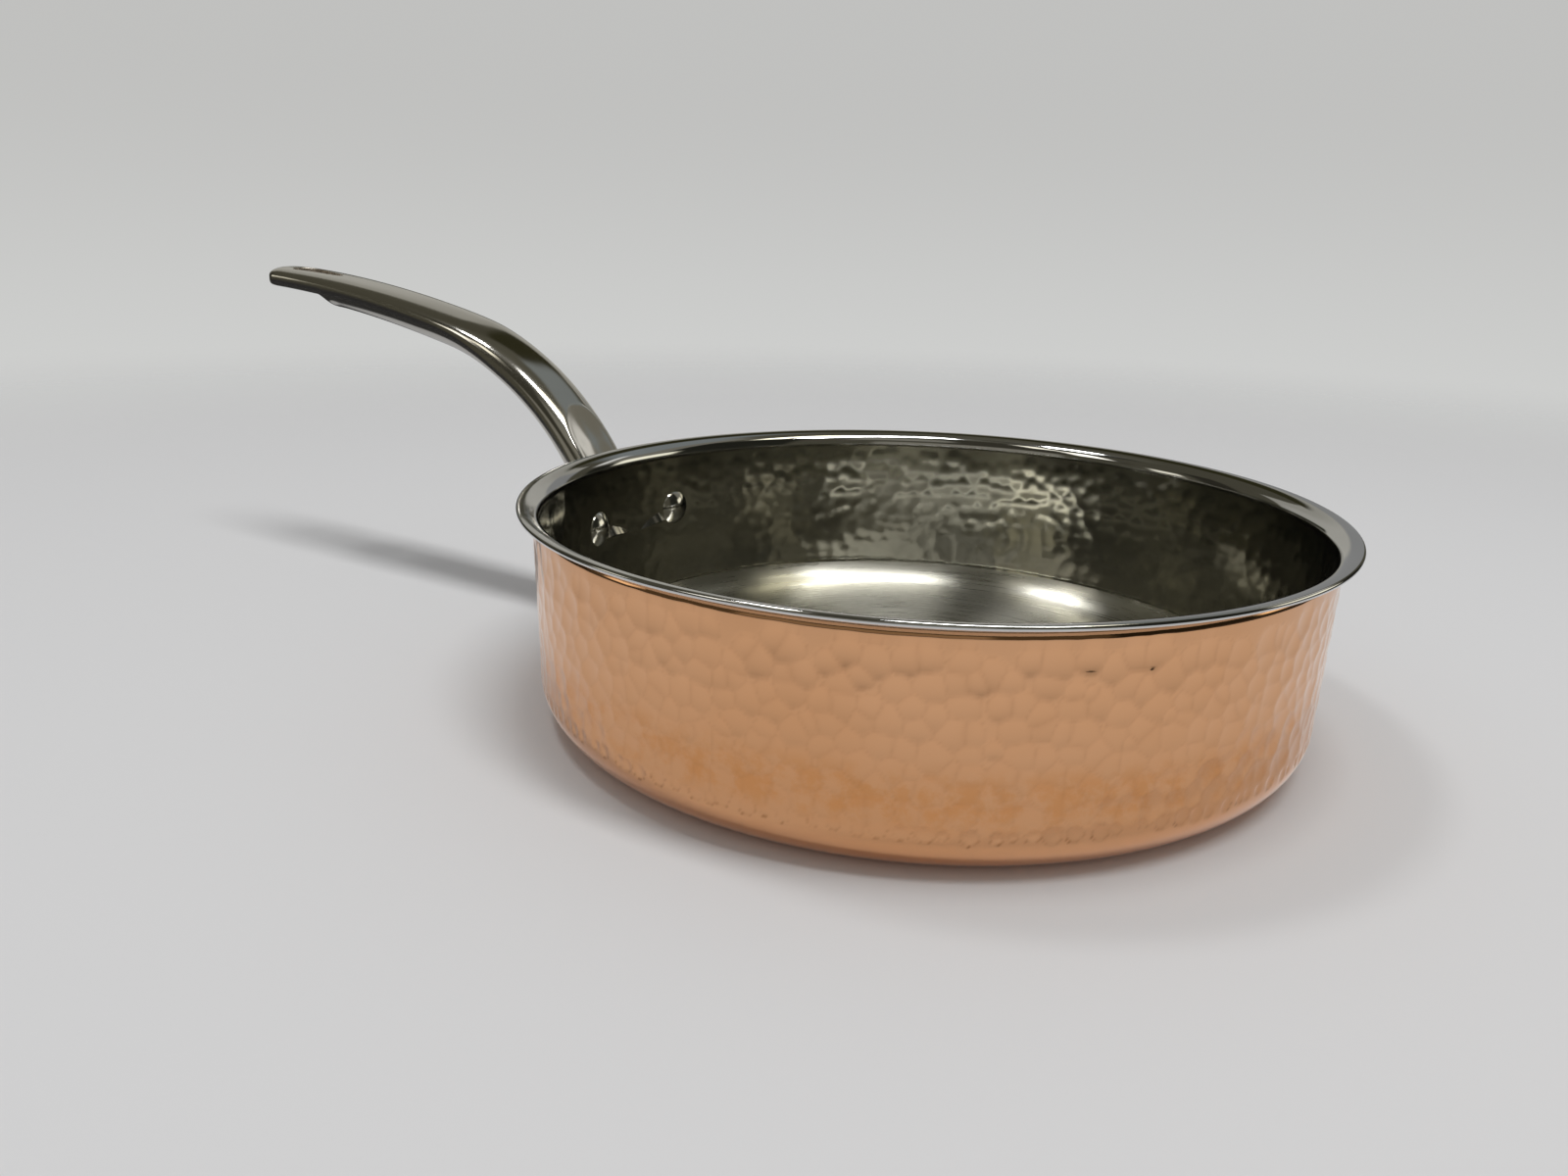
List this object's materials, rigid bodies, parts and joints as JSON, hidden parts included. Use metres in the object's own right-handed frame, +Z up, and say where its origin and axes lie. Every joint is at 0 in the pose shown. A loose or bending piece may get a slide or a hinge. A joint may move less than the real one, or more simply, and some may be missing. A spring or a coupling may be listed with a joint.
{
  "type": "saute pan",
  "caption": "Straight-sided saute pan with a hammered copper outside, a steel lining with a flared pouring lip, and a long riveted steel handle with a hanging hole.",
  "frame": {"origin": "centre of the flat base, on the surface that the pan stands on", "axes": "+Z up along the pan's axis; the handle points along -X; +Y is across the handle, to the right of someone who looks from the pan towards the handle's tip"},
  "size_m": [0.4439, 0.254, 0.1264],
  "materials": {
    "copper": "polished copper, hammered all over",
    "core": "rolled sheet, sealed inside",
    "lining": "polished stainless steel, hammered on the wall and brushed on the floor",
    "handle": "cast stainless steel, polished",
    "rivet": "polished stainless steel"
  },
  "bodies": {
    "root": {"copper_shell": "copper", "aluminium_core": "core", "steel_lining": "lining", "handle": "handle", "rivet_left": "rivet", "rivet_right": "rivet"}
  },
  "joints": []
}
